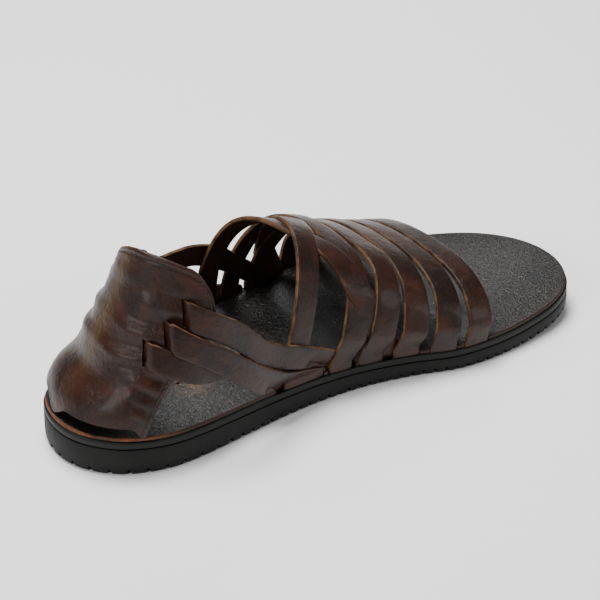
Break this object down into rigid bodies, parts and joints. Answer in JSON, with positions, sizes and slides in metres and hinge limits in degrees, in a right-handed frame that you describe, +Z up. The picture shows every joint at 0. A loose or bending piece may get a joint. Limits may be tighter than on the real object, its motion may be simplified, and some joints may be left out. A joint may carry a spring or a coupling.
{
  "type": "sandal",
  "caption": "Woven leather sandal for the left foot with an open toe, strapped instep, closed slitted heel counter and a ridged rubber sole.",
  "frame": {"origin": "on the floor under the middle of the heel", "axes": "+X towards the toe, +Y towards the outer side of the left foot, +Z up"},
  "size_m": [0.288, 0.1168, 0.1013],
  "materials": {
    "rubber": "matte moulded black",
    "insole_leather": "dark brown, grained, waxed",
    "upper_leather": "dark brown, smooth, waxed"
  },
  "bodies": {
    "root": {"outsole": "rubber", "midsole": "rubber", "insole": "insole_leather", "heel_counter": "upper_leather", "woven_straps": "upper_leather", "ball_strap": "upper_leather", "toe_strap": "upper_leather"}
  },
  "joints": []
}
